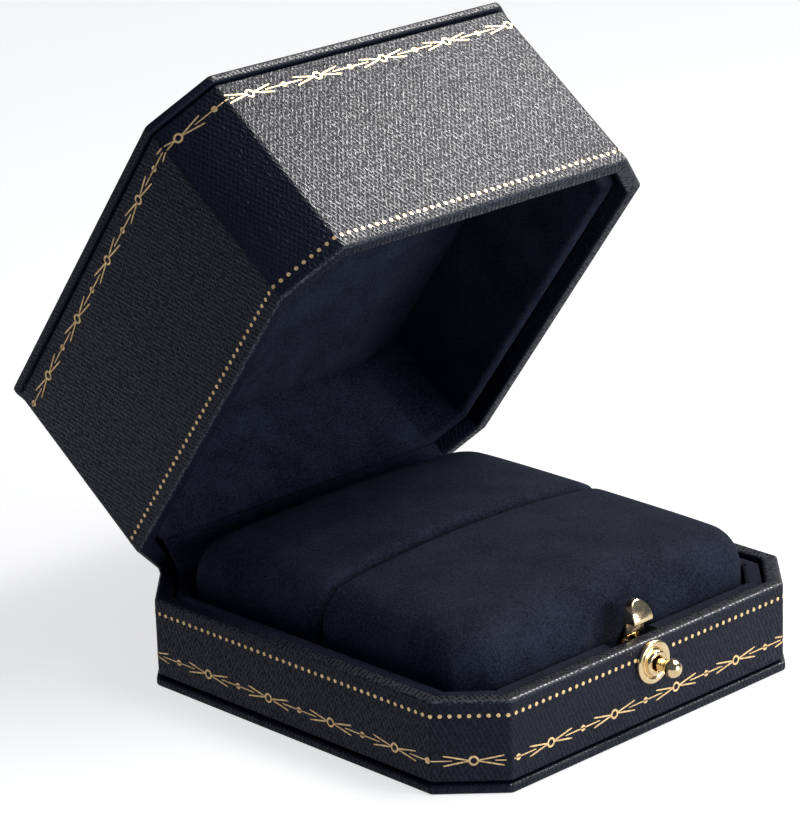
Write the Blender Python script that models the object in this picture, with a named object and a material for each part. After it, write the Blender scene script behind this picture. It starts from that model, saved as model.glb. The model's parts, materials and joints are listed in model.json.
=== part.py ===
"""Octagonal leatherette ring box: a base with two ring cushions, a sprung hinge, a lined lid and a push-button latch.

Frame: origin at the centre of the base's underside, +Z up, the button side faces -Y and the hinge is along +Y.
The lid is modelled closed, then turned open about its hinge pin by the empty that carries it.
Sizes are in millimetres up to the point where a mesh is made, and meshes are in metres.
"""

import math

import bmesh
import bpy
from mathutils import Matrix, Vector
from mathutils.geometry import interpolate_bezier

MM = 0.001

# Driving dimensions of the box, in millimetres.
HALF = 32.0
CHAMFER = 6.9
WALL = 2.2
GAP = 0.3
BOARD = 1.2
BOARD_LIP = 0.3
BASE_RIM = 12.1
LID_RIM = BASE_RIM + GAP
LID_WALL_TOP = 40.1
OPEN_ANGLE = math.radians(53.5)
EDGE_ROUND = 0.45

# The lining of the base and the cushions that it holds.
TRAY_OUTER = HALF - WALL - GAP
TRAY_INNER = TRAY_OUTER - 2.2
TRAY_FLOOR = 2.5
TRAY_RIM = 11.3
CARD_HALF = 26.5
CARD_TOP = 3.8
CUSHION_HALF = 26.6
CUSHION_TOP = 19.5
CUSHION_ROUND = 6.0
SLOT_HALF = 2.2

# The lining of the lid.
LINER_INNER = TRAY_OUTER - 2.0
LINER_EDGE = LID_RIM + 2.0
LINER_TOP = LID_WALL_TOP - 0.2
CEILING = 29.6

# The hinge: its pin lies along X, between the two rims.
HINGE_Y = 31.7
HINGE_Z = BASE_RIM + GAP / 2
PIN_R = 0.35
KNUCKLE_R = 0.85
KNUCKLE_BORE = 0.5
LEAF = 0.5
LEAF_HALF = 12.0
LEAF_DEPTH = 7.0
LEAF_Y = TRAY_OUTER - LEAF
FLANGE_OFFSET = 0.65
RIVET_X = 8.0
RIVET_DROP = 4.65
LEATHER = 0.5
SPINE_HALF = 24.4
FLAP_HALF = 25.0

# The latch: a button through the front wall tips a tongue that hooks into the lid.
BUTTON_Z = 9.2
BUSH_R = 1.35
BUSH_BORE = 1.0
FLANGE_R = 2.85
STEM_R = 0.7
PIVOT_Y = -27.7
PIVOT_Z = 4.8
TONGUE_HALF = 1.7
SHOULDER_Z = 14.0
TONGUE_TOP = 16.8
BAY_HALF = 4.2

LEATHERETTE = ("navy_leatherette", (0.030, 0.036, 0.055), 0.48, 0.0)
SUEDE = ("navy_suede", (0.014, 0.018, 0.032), 0.95, 0.0)
BRASS = ("polished_brass", (0.86, 0.66, 0.36), 0.2, 1.0)
STEEL = ("spring_steel", (0.55, 0.55, 0.56), 0.3, 1.0)
CARD = ("grey_card", (0.22, 0.21, 0.20), 0.9, 0.0)


def material(finish):
    """The Principled material of a finish: its name, colour, roughness and metallic value."""
    name, colour, roughness, metallic = finish
    made = bpy.data.materials.get(name)
    if made is None:
        made = bpy.data.materials.new(name)
        made.use_nodes = True
        shader = made.node_tree.nodes["Principled BSDF"]
        shader.inputs["Base Color"].default_value = (*colour, 1.0)
        shader.inputs["Roughness"].default_value = roughness
        shader.inputs["Metallic"].default_value = metallic
    return made


def add(name, data, finish=None, parent=None):
    """Puts mesh or curve data in the scene, under its parent empty if it has one."""
    obj = bpy.data.objects.new(name, data)
    bpy.context.collection.objects.link(obj)
    if parent is not None:
        obj.parent = parent
    if finish is None:
        obj.hide_render = True
        obj.display_type = "WIRE"
    else:
        data.materials.append(material(finish))
    return obj


def solid(name, bm, finish=None, parent=None, smooth=False):
    """Turns a bmesh in millimetres, in the closed box's frame, into an object in metres about its parent's axis."""
    bmesh.ops.remove_doubles(bm, verts=bm.verts, dist=1e-5)
    bmesh.ops.recalc_face_normals(bm, faces=bm.faces)
    origin = Vector(PIVOTS[parent.name]) if parent is not None else Vector()
    bmesh.ops.translate(bm, vec=-origin, verts=bm.verts)
    bmesh.ops.scale(bm, vec=(MM, MM, MM), verts=bm.verts)
    mesh = bpy.data.meshes.new(name)
    bm.to_mesh(mesh)
    bm.free()
    if smooth:
        mesh.shade_smooth()
        mesh.set_sharp_from_angle(angle=math.radians(35))
    return add(name, mesh, finish, parent)


def modify(obj, others, operation):
    """Cuts the other solids out of an object, or joins them to it."""
    for other in others:
        boolean = obj.modifiers.new(f"{operation.lower()} {other.name}", "BOOLEAN")
        boolean.operation = operation
        boolean.object = other
        boolean.solver = "EXACT"


def octagon(half):
    """The box's outline at a distance from its centre: four walls and four chamfered corners."""
    side = half - CHAMFER + (HALF - half) * (2 - math.sqrt(2))
    corners = [(half, -side), (half, side), (side, half), (-side, half)]
    return corners + [(-x, -y) for x, y in corners]


def is_rim(edge):
    """True for an edge where a level face meets an upright one."""
    level = [abs(face.normal.z) > 0.9 for face in edge.link_faces]
    return len(level) == 2 and level[0] != level[1]


def is_upright(edge):
    """True for an edge that runs along Z."""
    first, last = (vert.co for vert in edge.verts)
    return abs(first.z - last.z) > 0.9 * (first - last).length


def soften(bm, edges, width, segments=2):
    """Rounds edges over by a width."""
    bm.normal_update()
    bmesh.ops.bevel(
        bm, geom=edges, offset=width, segments=segments, profile=0.5, affect="EDGES", material=-1
    )


def block(low, high):
    """A box between two corners."""
    bm = bmesh.new()
    bmesh.ops.create_cube(bm, size=1.0)
    low, high = Vector(low), Vector(high)
    bmesh.ops.scale(bm, vec=high - low, verts=bm.verts)
    bmesh.ops.translate(bm, vec=(low + high) / 2, verts=bm.verts)
    return bm


def prism(points, direction):
    """A flat outline of 3-D points, drawn out along a direction."""
    bm = bmesh.new()
    face = bm.faces.new([bm.verts.new(point) for point in points])
    grown = bmesh.ops.extrude_face_region(bm, geom=[face])["geom"]
    moved = [part for part in grown if isinstance(part, bmesh.types.BMVert)]
    bmesh.ops.translate(bm, vec=direction, verts=moved)
    bmesh.ops.recalc_face_normals(bm, faces=bm.faces)
    return bm


def plate(half, bottom, top, rounding=0.0):
    """A solid octagonal board, with its corners and its top and bottom edges rounded."""
    bm = prism([(x, y, bottom) for x, y in octagon(half)], (0, 0, top - bottom))
    if rounding:
        soften(bm, [edge for edge in bm.edges if is_upright(edge)], 2 * rounding)
        bm.normal_update()
        soften(bm, [edge for edge in bm.edges if is_rim(edge)], rounding)
    return bm


def wall(outer, inner, bottom, top, rounding=0.0, at=None):
    """An octagonal wall between two outlines, its upright corners rounded and the rim at one height too."""
    bm = bmesh.new()
    loops = []
    for half in (outer, inner):
        verts = [bm.verts.new((x, y, bottom)) for x, y in octagon(half)]
        loops += [bm.edges.new((verts[i - 1], verts[i])) for i in range(len(verts))]
    ring = bmesh.ops.bridge_loops(bm, edges=loops)["faces"]
    grown = bmesh.ops.extrude_face_region(bm, geom=ring)["geom"]
    moved = [part for part in grown if isinstance(part, bmesh.types.BMVert)]
    bmesh.ops.translate(bm, vec=(0, 0, top - bottom), verts=moved)
    bmesh.ops.recalc_face_normals(bm, faces=bm.faces)
    if rounding:
        soften(bm, [edge for edge in bm.edges if is_upright(edge)], rounding)
        bm.normal_update()
        rim = [edge for edge in bm.edges if is_rim(edge) and abs(edge.verts[0].co.z - at) < 1e-4]
        soften(bm, rim, rounding)
    return bm


def turned(profile, centre, axis, sides=16):
    """A closed profile of (radius, distance along the axis) points, turned about an axis through a centre."""
    turn = Vector((0, 0, 1)).rotation_difference(Vector(axis)).to_matrix().to_4x4()
    bm = bmesh.new()
    verts = [bm.verts.new((radius, 0, along)) for radius, along in profile]
    edges = [bm.edges.new((verts[i - 1], verts[i])) for i in range(len(verts))]
    bmesh.ops.spin(
        bm, geom=verts + edges, cent=(0, 0, 0), axis=(0, 0, 1), angle=2 * math.pi, steps=sides, use_merge=True
    )
    bmesh.ops.remove_doubles(bm, verts=bm.verts, dist=1e-4)
    bmesh.ops.dissolve_degenerate(bm, edges=bm.edges, dist=1e-5)
    bmesh.ops.transform(bm, matrix=Matrix.Translation(centre) @ turn, verts=bm.verts)
    return bm


def rod(radius, start, end, sides=16):
    """A round bar from one point to another."""
    axis = Vector(end) - Vector(start)
    profile = [(0, 0), (radius, 0), (radius, axis.length), (0, axis.length)]
    return turned(profile, start, axis, sides)


def pipe(outer, inner, start, end, sides=16):
    """A round tube from one point to another."""
    axis = Vector(end) - Vector(start)
    profile = [(inner, 0), (outer, 0), (outer, axis.length), (inner, axis.length)]
    return turned(profile, start, axis, sides)


def strip(path, thickness, half_width):
    """A band of even thickness that follows a path in the Y-Z plane and runs across the box along X."""
    points = [Vector(point) for point in path]
    sides = ([], [])
    for i, point in enumerate(points):
        along = points[min(i + 1, len(points) - 1)] - points[max(i - 1, 0)]
        across = Vector((-along.y, along.x)).normalized() * thickness / 2
        sides[0].append(point + across)
        sides[1].append(point - across)
    outline = sides[0] + sides[1][::-1]
    return prism([(-half_width, y, z) for y, z in outline], (2 * half_width, 0, 0))


def opened(y, z):
    """Where a point of the closed lid lies, in the Y-Z plane, when the lid stands open."""
    across, up = y - HINGE_Y, z - HINGE_Z
    sin, cos = math.sin(OPEN_ANGLE), math.cos(OPEN_ANGLE)
    return Vector((HINGE_Y + across * cos + up * sin, HINGE_Z - across * sin + up * cos))


def flipped(z):
    """The height that mirrors another about the hinge, for the lid's half of it."""
    return 2 * HINGE_Z - z


def build_base():
    """The wrapped bottom board and the wall that stands on it."""
    solid("base_bottom_board", plate(HALF + BOARD_LIP, 0, BOARD, 0.35), LEATHERETTE)
    frame = wall(HALF, HALF - WALL, BOARD + GAP, BASE_RIM, EDGE_ROUND, BASE_RIM)
    frame = solid("base_wall_frame", frame, LEATHERETTE)
    inside, outside = HALF - WALL - 0.1, HALF + 0.5
    notch = block((-LEAF_HALF - 0.6, inside, BASE_RIM - 1.3), (LEAF_HALF + 0.6, outside, BASE_RIM + 0.5))
    hole = rod(BUSH_R + GAP, (0, -outside, BUTTON_Z), (0, -inside, BUTTON_Z))
    rivet_z = BASE_RIM - RIVET_DROP + GAP / 2
    cutters = [solid("cut_base_hinge_notch", notch), solid("cut_button_hole", hole)]
    for side in (-1, 1):
        x = side * RIVET_X
        sink = rod(0.8, (x, inside, rivet_z), (x, 31.3, rivet_z), 12)
        cutters.append(solid(f"cut_base_rivet_hole_{side + 1}", sink))
    modify(frame, cutters, "DIFFERENCE")


def build_tray():
    """The suede-lined tray inside the base wall, with room for the hinge leaf and the latch."""
    floor = plate(TRAY_OUTER, BOARD + GAP, TRAY_RIM)
    soften(floor, [edge for edge in floor.edges if is_rim(edge) and edge.verts[0].co.z > TRAY_FLOOR], 0.5)
    tray = solid("base_tray", floor, SUEDE)
    hollow = solid("cut_tray_hollow", plate(TRAY_INNER, TRAY_FLOOR, TRAY_RIM + 1))
    pocket = block((-LEAF_HALF - 1, TRAY_OUTER - 1.5, 4.2), (LEAF_HALF + 1, TRAY_OUTER + 0.5, TRAY_RIM + 1))
    bay = block(
        (-BAY_HALF, -TRAY_OUTER - 0.5, TRAY_FLOOR), (BAY_HALF, -TRAY_INNER + 0.5, TRAY_RIM + 1)
    )
    cutters = [hollow, solid("cut_tray_hinge_pocket", pocket), solid("cut_tray_latch_bay", bay)]
    for side in (-1, 1):
        sink = rod(0.5, (2.0 * side, -28.6, 1.8), (2.0 * side, -28.6, TRAY_FLOOR + 0.2), 12)
        cutters.append(solid(f"cut_bracket_rivet_hole_{side + 1}", sink))
    modify(tray, cutters, "DIFFERENCE")


def build_cushions():
    """The card that the cushions are glued to, and the two rolls that hold a ring between them."""
    solid("cushion_card", plate(CARD_HALF, TRAY_FLOOR + GAP, CARD_TOP), CARD)
    bottom = CARD_TOP + GAP
    for name, near, far in (
        ("front_cushion", -CUSHION_HALF, -SLOT_HALF),
        ("rear_cushion", SLOT_HALF, CUSHION_HALF),
    ):
        bm = block((-CUSHION_HALF, near, bottom), (CUSHION_HALF, far, CUSHION_TOP))
        raised = [e for e in bm.edges if is_upright(e) or (is_rim(e) and e.verts[0].co.z > bottom)]
        soften(bm, raised, CUSHION_ROUND, 5)
        cushion = solid(name, bm, SUEDE, smooth=True)
        if near < 0:
            relief = block((-3.2, -CUSHION_HALF - 1, bottom - 1), (3.2, 1 - CUSHION_HALF, 12.2))
            modify(cushion, [solid("cut_cushion_relief", relief)], "DIFFERENCE")


def build_hinge(lid):
    """The two leaves, their rivets, the pin and the spring that snaps the lid open or shut."""
    axis_y, near = HINGE_Y, LEAF_Y
    for name, parent, side in (("base", None, -1), ("lid", lid, 1)):
        flange = HINGE_Z + side * FLANGE_OFFSET
        inner = flange + side * LEAF
        end = flange + side * LEAF_DEPTH
        profile = [(near, flange), (axis_y - 0.1, flange), (axis_y - 0.1, inner)]
        profile += [(near + LEAF, inner), (near + LEAF, end), (near, end)]
        outline = [(-LEAF_HALF, y, z) for y, z in profile]
        leaf = solid(f"hinge_{name}_leaf", prism(outline, (2 * LEAF_HALF, 0, 0)), BRASS, parent)

        low, high = sorted((HINGE_Z, inner + side * 0.05))
        gaps = [(-2.6, 2.6, near - 1)]
        spans = [(-11.95, -7.4), (7.4, 11.95)]
        if side > 0:
            spans = [(-7.1, -2.9), (2.9, 7.1)]
            gaps += [(-13.0, -7.25, axis_y - 1.5), (7.25, 13.0, axis_y - 1.5)]
        else:
            gaps += [(-7.25, -2.5, axis_y - 1.5), (2.5, 7.25, axis_y - 1.5)]
        cutters = []
        for i, (first, last, start) in enumerate(gaps):
            bm = block((first, start, low), (last, axis_y + 1, high))
            cutters.append(solid(f"cut_{name}_leaf_gap_{i}", bm, None, parent))
        rivet_z = HINGE_Z + side * RIVET_DROP
        for hand, x in (("left", -RIVET_X), ("right", RIVET_X)):
            hole = rod(0.8, (x, near - 1, rivet_z), (x, near + 1, rivet_z), 12)
            cutters.append(solid(f"cut_{name}_leaf_hole_{hand}", hole, None, parent))
            shape = [(0, 0), (1.0, 0), (1.1, 0.15), (1.1, 0.4), (0.5, 0.4), (0.5, 2.6), (0, 2.6)]
            rivet = turned(shape, (x, near - 0.7, rivet_z), (0, 1, 0), 12)
            solid(f"hinge_{name}_rivet_{hand}", rivet, BRASS, parent)
        modify(leaf, cutters, "DIFFERENCE")

        knuckles = []
        for first, last in spans:
            bm = rod(KNUCKLE_R, (first, axis_y, HINGE_Z), (last, axis_y, HINGE_Z))
            knuckles.append(solid(f"{name}_knuckle_{first:.0f}", bm, None, parent))
        modify(leaf, knuckles, "UNION")
        bore = rod(KNUCKLE_BORE, (-13, axis_y, HINGE_Z), (13, axis_y, HINGE_Z))
        modify(leaf, [solid(f"cut_{name}_knuckle_bore", bore, None, parent)], "DIFFERENCE")

    solid("hinge_pin", rod(PIN_R, (-12.4, axis_y, HINGE_Z), (12.4, axis_y, HINGE_Z)), STEEL)
    curl = rod(KNUCKLE_R, (-2.2, axis_y, HINGE_Z), (2.2, axis_y, HINGE_Z))
    curl = solid("hinge_snap_spring", curl, STEEL)
    arm_low, arm_high = HINGE_Z - 0.82, HINGE_Z - 0.52
    back = near - 0.4
    profile = [(near - 0.7, 5.4), (back, 5.4), (back, arm_low), (axis_y - 0.3, arm_low)]
    profile += [(axis_y - 0.3, arm_high), (near - 0.7, arm_high)]
    arm = solid("spring_arm", prism([(-2.1, y, z) for y, z in profile], (4.2, 0, 0)))
    modify(curl, [arm], "UNION")
    bore = rod(KNUCKLE_BORE, (-3, axis_y, HINGE_Z), (3, axis_y, HINGE_Z))
    modify(curl, [solid("cut_spring_bore", bore)], "DIFFERENCE")


def build_covers():
    """The leather spine outside the hinge and the suede flap inside it, both bent as they lie with the lid open."""
    offset = HALF + GAP + LEATHER / 2
    clear = KNUCKLE_R + 0.2 + LEATHER / 2
    middle = (math.radians(-90) + math.radians(90) - OPEN_ANGLE) / 2
    bulge = Vector((HINGE_Y + clear * math.cos(middle), HINGE_Z + clear * math.sin(middle)))
    along = Vector((math.sin(middle + math.pi), math.cos(middle))) * 0.55
    start, low = Vector((offset, 6.5)), Vector((offset, 10.2))
    end, high = opened(offset, flipped(6.5)), opened(offset, flipped(10.2))
    rise = Vector((0, 0.8))
    fall = (high - end).normalized() * 0.8
    path = interpolate_bezier(low, low + rise, bulge + Vector((-along.x, -along.y)), bulge, 6)
    path = [start] + path + interpolate_bezier(bulge, bulge + along, high + fall, high, 6)[1:] + [end]
    solid("hinge_spine", strip(path, LEATHER, SPINE_HALF), LEATHERETTE)
    foot = Vector((28.0, TRAY_RIM + 0.6))
    head = opened(28.2, LINER_EDGE - GAP)
    path = interpolate_bezier(foot, foot + Vector((0.1, 1.6)), head + Vector((-1.3, -0.9)), head, 8)
    solid("hinge_flap", strip(path, LEATHER, FLAP_HALF), SUEDE)


def build_lid(lid):
    """The lid's wall, its wrapped top board, its lining and the padded block above the ring."""
    board = plate(HALF + BOARD_LIP, LID_WALL_TOP + GAP, LID_WALL_TOP + GAP + BOARD, 0.35)
    solid("lid_top_board", board, LEATHERETTE, lid)
    bm = wall(HALF, HALF - WALL, LID_RIM, LID_WALL_TOP, EDGE_ROUND, LID_RIM)
    frame = solid("lid_wall_frame", bm, LEATHERETTE, lid)
    inside, outside = HALF - WALL - 0.1, HALF + 0.5
    notch = block((-LEAF_HALF - 0.6, inside, LID_RIM - 0.5), (LEAF_HALF + 0.6, outside, LID_RIM + 1.3))
    seat = block((-4.5, -HALF + 1.5, LID_RIM + 0.5), (4.5, -inside, 20.9))
    nose_pocket = block((-2.9, -HALF + 0.6, 13.4), (2.9, -inside, 17.7))
    cutters = [
        solid("cut_lid_hinge_notch", notch, None, lid),
        solid("cut_strike_seat", seat, None, lid),
        solid("cut_nose_pocket", nose_pocket, None, lid),
    ]
    rivet_z = HINGE_Z + RIVET_DROP
    for side in (-1, 1):
        x = side * RIVET_X
        sink = rod(0.8, (x, inside, rivet_z), (x, 31.3, rivet_z), 12)
        cutters.append(solid(f"cut_lid_rivet_hole_{side + 1}", sink, None, lid))
        sink = rod(0.6, (2.4 * side, -31.2, 19.2), (2.4 * side, -inside, 19.2), 12)
        cutters.append(solid(f"cut_strike_screw_hole_{side + 1}", sink, None, lid))
    modify(frame, cutters, "DIFFERENCE")
    bm = wall(TRAY_OUTER, LINER_INNER, LINER_EDGE, LINER_TOP, 0.5, LINER_EDGE)
    liner = solid("lid_liner", bm, SUEDE, lid)
    pocket = block((-LEAF_HALF - 1, TRAY_OUTER - 1.4, LINER_EDGE - 1), (LEAF_HALF + 1, TRAY_OUTER + 1, 21.2))
    bay = block((-4.6, -TRAY_OUTER - 1, LINER_EDGE - 1), (4.6, -LINER_INNER + 1, 20.9))
    cutters = [
        solid("cut_liner_hinge_pocket", pocket, None, lid),
        solid("cut_liner_latch_bay", bay, None, lid),
    ]
    modify(liner, cutters, "DIFFERENCE")
    solid("lid_ceiling_pad", plate(LINER_INNER - GAP, CEILING, LINER_TOP - 0.1), SUEDE, lid)


def build_strike(lid):
    """The plate inside the lid's front wall that the tongue hooks behind, and its two screws."""
    strike = solid("strike_plate", block((-4.2, -30.2, LID_RIM + 0.8), (4.2, -29.7, 20.6)), BRASS, lid)
    window = block((-2.9, -31, SHOULDER_Z - GAP), (2.9, -29, 17.4))
    cutters = [solid("cut_strike_window", window, None, lid)]
    for hand, x in (("left", -2.4), ("right", 2.4)):
        hole = rod(0.6, (x, -31, 19.2), (x, -29, 19.2), 12)
        cutters.append(solid(f"cut_strike_hole_{hand}", hole, None, lid))
        profile = [(0, 0), (0.35, 0), (0.35, 1.6), (0.8, 1.6), (0.7, 1.9), (0, 1.9)]
        screw = turned(profile, (x, -31.0, 19.2), (0, 1, 0), 12)
        solid(f"strike_screw_{hand}", screw, BRASS, lid)
    modify(strike, cutters, "DIFFERENCE")


def build_button(button):
    """The bush in the front wall with its nut, and the push button that slides in it with its clip."""
    face = -HALF - GAP
    inner_end = -28.95
    profile = [
        (BUSH_BORE, inner_end),
        (BUSH_BORE, face - 0.8),
        (1.35, face - 0.9),
        (1.6, face - 0.75),
        (1.65, face - 0.5),
        (FLANGE_R - 0.25, face - 0.45),
        (FLANGE_R, face - 0.25),
        (FLANGE_R, face),
        (BUSH_R, face),
        (BUSH_R, inner_end),
    ]
    solid("button_bush", turned(profile, (0, 0, BUTTON_Z), (0, 1, 0), 24), BRASS, smooth=True)
    nut = solid("bush_nut", rod(2.3, (0, -29.55, BUTTON_Z), (0, inner_end, BUTTON_Z), 6), BRASS)
    thread = rod(BUSH_R + 0.25, (0, -30, BUTTON_Z), (0, -28, BUTTON_Z))
    modify(nut, [solid("cut_nut_thread", thread)], "DIFFERENCE")
    dome_y, dome_r, neck_r = -35.45, 1.2, 0.88
    neck = math.acos(neck_r / dome_r)
    steps = 6
    angles = [neck - (neck + math.pi / 2) * i / steps for i in range(steps + 1)]
    dome = [(max(dome_r * math.cos(a), 0.0), dome_y + dome_r * math.sin(a)) for a in angles]
    stem = [(0, -28.25), (STEM_R, -28.25), (STEM_R, -28.45), (0.4, -28.45), (0.4, -28.95), (STEM_R, -28.95)]
    stem += [(STEM_R, -34.0), (neck_r, -34.15)]
    body = turned(stem + dome, (0, 0, BUTTON_Z), (0, 1, 0), 16)
    solid("push_button", body, BRASS, button, smooth=True)
    clip = pipe(1.4, 0.5, (0, -28.85, BUTTON_Z), (0, -28.55, BUTTON_Z), 12)
    solid("button_clip", clip, STEEL, button)


def build_latch(tongue):
    """The tongue on its pivot pin, the bracket that carries it, its rivets and its return spring."""
    thick = 0.6
    front = PIVOT_Y - thick / 2
    neck_front = -29.3
    profile = [
        (front, PIVOT_Z),
        (front, 11.4),
        (neck_front, 12.3),
        (neck_front, SHOULDER_Z),
        (-30.8, SHOULDER_Z),
        (-30.8, SHOULDER_Z + 0.5),
        (-29.5, TONGUE_TOP),
        (neck_front + thick, TONGUE_TOP),
        (neck_front + thick, 12.0),
        (front + thick, 11.1),
        (front + thick, PIVOT_Z),
    ]
    bm = prism([(-TONGUE_HALF, y, z) for y, z in profile], (2 * TONGUE_HALF, 0, 0))
    blade = solid("latch_tongue", bm, BRASS, tongue)
    arch = [(-TONGUE_HALF, 6.2), (-1.2, 6.0), (-1.2, 3.0), (1.2, 3.0), (1.2, 6.0), (TONGUE_HALF, 6.2)]
    crown = SHOULDER_Z + 0.9
    for i in range(9):
        angle = math.pi * i / 8
        arch.append((TONGUE_HALF * math.cos(angle), crown + (TONGUE_TOP - crown) * math.sin(angle)))
    outline = prism([(x, -32, z) for x, z in arch], (0, 6, 0))
    modify(blade, [solid("tongue_outline", outline, None, tongue)], "INTERSECT")
    eye = rod(1.0, (-1.2, PIVOT_Y, PIVOT_Z), (1.2, PIVOT_Y, PIVOT_Z))
    modify(blade, [solid("tongue_eye", eye, None, tongue)], "UNION")
    bore = rod(0.6, (-2, PIVOT_Y, PIVOT_Z), (2, PIVOT_Y, PIVOT_Z))
    modify(blade, [solid("cut_tongue_bore", bore, None, tongue)], "DIFFERENCE")

    low, high = TRAY_FLOOR + GAP, 3.3
    bracket = solid("latch_bracket", block((-3.6, -29.2, low), (3.6, -26.9, high)), BRASS)
    ears = []
    for side in (-1, 1):
        ear = block((3.3 * side - 0.3, -28.9, low + 0.1), (3.3 * side + 0.3, -26.9, 6.0))
        ears.append(solid(f"bracket_ear_{side + 1}", ear))
    modify(bracket, ears, "UNION")
    cutters = [solid("cut_ear_bore", rod(0.6, (-5, PIVOT_Y, PIVOT_Z), (5, PIVOT_Y, PIVOT_Z)))]
    for hand, x in (("left", -2.0), ("right", 2.0)):
        hole = rod(0.5, (x, -28.6, low - 0.2), (x, -28.6, high + 0.2), 12)
        cutters.append(solid(f"cut_bracket_hole_{hand}", hole))
        profile = [(0, 1.95), (0.3, 1.95), (0.3, high + 0.1), (0.55, high + 0.1), (0.5, high + 0.35)]
        rivet = turned(profile + [(0, high + 0.35)], (x, -28.6, 0), (0, 0, 1), 12)
        solid(f"latch_bracket_rivet_{hand}", rivet, BRASS)
    modify(bracket, cutters, "DIFFERENCE")
    solid("latch_pivot_pin", rod(0.4, (-4.0, PIVOT_Y, PIVOT_Z), (4.0, PIVOT_Y, PIVOT_Z)), STEEL)

    coil_r, first_x, last_x, turns, steps = 0.8, 1.55, 2.6, 3, 12
    route = [(first_x, PIVOT_Y - coil_r, 3.65)]
    for i in range(turns * steps + steps // 2 + 1):
        angle = math.pi - 2 * math.pi * i / steps
        x = first_x + (last_x - first_x) * i / (turns * steps + steps // 2)
        route.append((x, PIVOT_Y + coil_r * math.cos(angle), PIVOT_Z + coil_r * math.sin(angle)))
    route.append((last_x, PIVOT_Y + coil_r, 6.1))
    curve = bpy.data.curves.new("latch_spring", "CURVE")
    curve.dimensions = "3D"
    curve.bevel_depth = 0.13 * MM
    curve.bevel_resolution = 1
    curve.use_fill_caps = True
    line = curve.splines.new("POLY")
    line.points.add(len(route) - 1)
    for point, place in zip(line.points, route):
        point.co = (*(Vector(place) * MM), 1.0)
    add("latch_spring", curve, STEEL)


PIVOTS = {
    "lid_pivot": (0, HINGE_Y, HINGE_Z),
    "button_slide": (0, 0, BUTTON_Z),
    "tongue_pivot": (0, PIVOT_Y, PIVOT_Z),
}


def pivot(name):
    """The empty that stands on a moving body's axis."""
    empty = bpy.data.objects.new(name, None)
    bpy.context.collection.objects.link(empty)
    empty.location = Vector(PIVOTS[name]) * MM
    return empty


def main():
    for obj in list(bpy.data.objects):
        bpy.data.objects.remove(obj)
    lid = pivot("lid_pivot")
    lid.rotation_euler.x = -OPEN_ANGLE
    build_base()
    build_tray()
    build_cushions()
    build_hinge(lid)
    build_covers()
    build_lid(lid)
    build_strike(lid)
    build_button(pivot("button_slide"))
    build_latch(pivot("tongue_pivot"))


main()
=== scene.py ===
"""The finish of an octagonal ring box in navy leatherette: wrapped and gilt walls, suede linings, ring
cushions and a polished brass clasp, built round the box's working parts.

Pieces are modelled in millimetres with the lid shut. The lid's pieces are then turned open about the
hinge, and every mesh ends up in metres.
"""

import json
import math

import bmesh
import bpy
from mathutils import Matrix, Vector
from mathutils.geometry import interpolate_bezier


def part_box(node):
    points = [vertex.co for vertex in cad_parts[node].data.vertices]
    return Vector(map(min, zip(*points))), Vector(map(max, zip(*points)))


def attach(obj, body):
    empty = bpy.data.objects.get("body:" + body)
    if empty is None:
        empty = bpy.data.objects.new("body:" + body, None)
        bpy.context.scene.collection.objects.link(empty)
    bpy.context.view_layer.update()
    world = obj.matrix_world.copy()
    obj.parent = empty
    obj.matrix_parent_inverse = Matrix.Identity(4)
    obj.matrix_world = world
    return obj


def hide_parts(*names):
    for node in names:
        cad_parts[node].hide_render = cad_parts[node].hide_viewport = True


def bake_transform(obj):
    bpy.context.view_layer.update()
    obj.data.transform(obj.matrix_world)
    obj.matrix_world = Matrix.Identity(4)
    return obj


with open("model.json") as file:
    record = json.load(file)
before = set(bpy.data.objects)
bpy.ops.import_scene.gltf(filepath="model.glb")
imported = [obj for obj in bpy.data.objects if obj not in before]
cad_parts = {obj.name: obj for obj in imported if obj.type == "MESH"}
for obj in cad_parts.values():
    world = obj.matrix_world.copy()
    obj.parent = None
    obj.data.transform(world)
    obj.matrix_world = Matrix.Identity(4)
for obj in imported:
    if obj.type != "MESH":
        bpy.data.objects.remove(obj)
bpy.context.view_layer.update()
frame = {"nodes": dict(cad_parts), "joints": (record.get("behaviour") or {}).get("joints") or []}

MM = 0.001


def high_mm(node, axis):
    """The highest place that a CAD node reaches along an axis, in millimetres."""
    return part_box(node)[1][axis] / MM


def low_mm(node, axis):
    """The lowest place that a CAD node reaches along an axis, in millimetres."""
    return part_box(node)[0][axis] / MM


# The box's walls and boards.
HALF = high_mm("base_wall_frame", 0)
CHAMFER = 6.9
WALL = 2.2
GAP = 0.3
BASE_RIM = high_mm("base_wall_frame", 2)
BASE_FOOT = low_mm("base_wall_frame", 2)
BOARD_TOP = high_mm("base_bottom_board", 2)
BOARD_HALF = high_mm("base_bottom_board", 0)
LID_RIM = BASE_RIM + GAP
LID_WALL_HEIGHT = 27.7
LID_TOP = LID_RIM + LID_WALL_HEIGHT
LID_BOARD = 1.2
RIM_ROUND = 0.45
SEAM_ROUND = 0.3
CORNER_SOFT = 0.35
BOARD_CORNER = 0.4
BOARD_EDGE = 0.35
WALL_LENGTH = 2 * (HALF - CHAMFER)
CHAMFER_LENGTH = CHAMFER * math.sqrt(2)

# A face that lies further inside the walls than this is laid flat, not unrolled with them.
WIDE_FACE = 4

# The linings.
TRAY_OUTER = high_mm("base_tray", 0)
TRAY_INNER = TRAY_OUTER - 2.2
TRAY_TOP = high_mm("base_tray", 2)
TRAY_FLOOR = 2.5
LEDGE = TRAY_TOP + 0.3
LINER_INNER = TRAY_OUTER - 2.0
LINER_EDGE = LID_RIM + 2.0
CEILING = 29.6

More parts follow.
